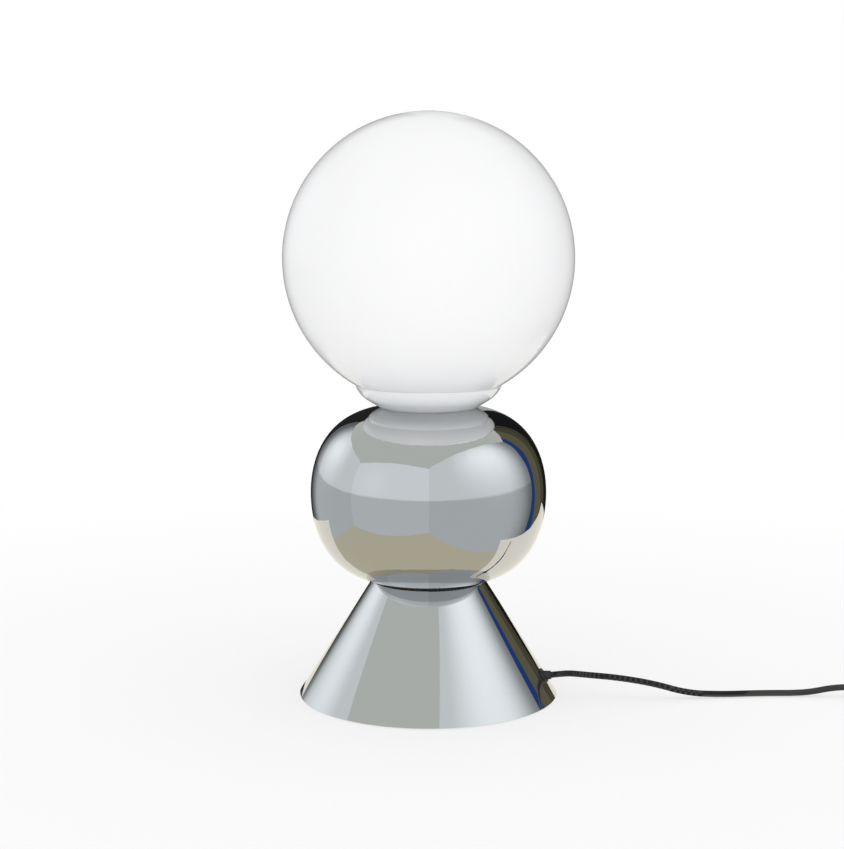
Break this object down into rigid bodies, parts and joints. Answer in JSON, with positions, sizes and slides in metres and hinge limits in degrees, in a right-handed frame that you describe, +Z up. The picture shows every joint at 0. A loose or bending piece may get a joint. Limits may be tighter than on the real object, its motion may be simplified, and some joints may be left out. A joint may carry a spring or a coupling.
{
  "type": "table lamp",
  "caption": "Table lamp: a white opal glass globe in a shallow cup on a squashed chrome ball and a low chrome cone, with a black mains cord, switch and plug.",
  "frame": {"origin": "on the table, in the middle of the foot ring, on the axis of the cone, ball and globe", "axes": "+Z up along the axis of the lamp, -Y towards the viewer of the picture, +X towards the side where the cord leaves"},
  "size_m": [0.6964, 0.2684, 0.5054],
  "materials": {
    "opal_glass": "glossy opal white, mouth blown",
    "white_silicone": "soft matte",
    "white_enamel": "glossy white enamel",
    "chrome": "mirror polished",
    "black_plastic": "satin black",
    "black_gloss": "glossy black",
    "black_pvc": "soft sheen black",
    "black_phenolic": "moulded phenolic, satin",
    "black_foam": "matte foam",
    "cast_iron": "rough cast, grey primer",
    "zinc_steel": "zinc plated",
    "steatite": "unglazed",
    "brass": "pressed sheet",
    "nickelled_brass": "nickel plated, satin",
    "solder": "dull",
    "bulb_opal": "opal white",
    "black_glass": "fused black glass",
    "white_paper": "satin plastic strip"
  },
  "bodies": {
    "lamp": {"globe_seal": "white_silicone", "globe_cup": "white_enamel", "chrome_ball": "chrome", "spacer_ring": "black_plastic", "chrome_cone": "chrome", "ballast_weight": "cast_iron", "bottom_cover": "zinc_steel", "cover_screws": "zinc_steel", "foot_ring": "black_foam", "threaded_tube": "zinc_steel", "lower_nut": "zinc_steel", "lower_washer": "zinc_steel", "upper_nut": "zinc_steel", "upper_washer": "zinc_steel", "holder_cap": "black_phenolic", "holder_shell": "black_phenolic", "holder_contact_block": "steatite", "holder_screw_shell": "brass", "holder_contacts": "brass", "cord_outlet": "black_plastic", "cord_clamp": "black_plastic", "clamp_screws": "zinc_steel", "inner_lead": "black_pvc", "cord_free": "black_pvc", "switch_base": "black_plastic", "switch_cover": "black_plastic", "switch_contacts": "brass", "switch_screws": "zinc_steel", "cord_link": "black_pvc", "cord_coil": "black_pvc", "coil_tie": "white_paper", "cord_tail": "black_pvc", "plug_body": "black_pvc", "plug_pins": "nickelled_brass", "plug_sleeves": "black_gloss"},
    "globe": {"glass_globe": "opal_glass"},
    "bulb": {"bulb_glass": "bulb_opal", "bulb_cap": "nickelled_brass", "bulb_insulator": "black_glass", "bulb_tip": "solder"},
    "rocker": {"switch_rocker": "black_gloss"}
  },
  "joints": [
    {"name": "globe_lift", "type": "slide", "parent": "lamp", "child": "globe", "axis": [0, 0, 1], "range_m": [0, 0.135]},
    {"name": "bulb_unscrew", "type": "slide", "parent": "lamp", "child": "bulb", "axis": [0, 0, 1], "range_m": [0, 0.035]},
    {"name": "rocker_tilt", "type": "hinge", "parent": "lamp", "child": "rocker", "pos_m": [0.414, -0.018, 0.0132], "axis": [0, 1, 0], "range_deg": [-18, 0]}
  ]
}
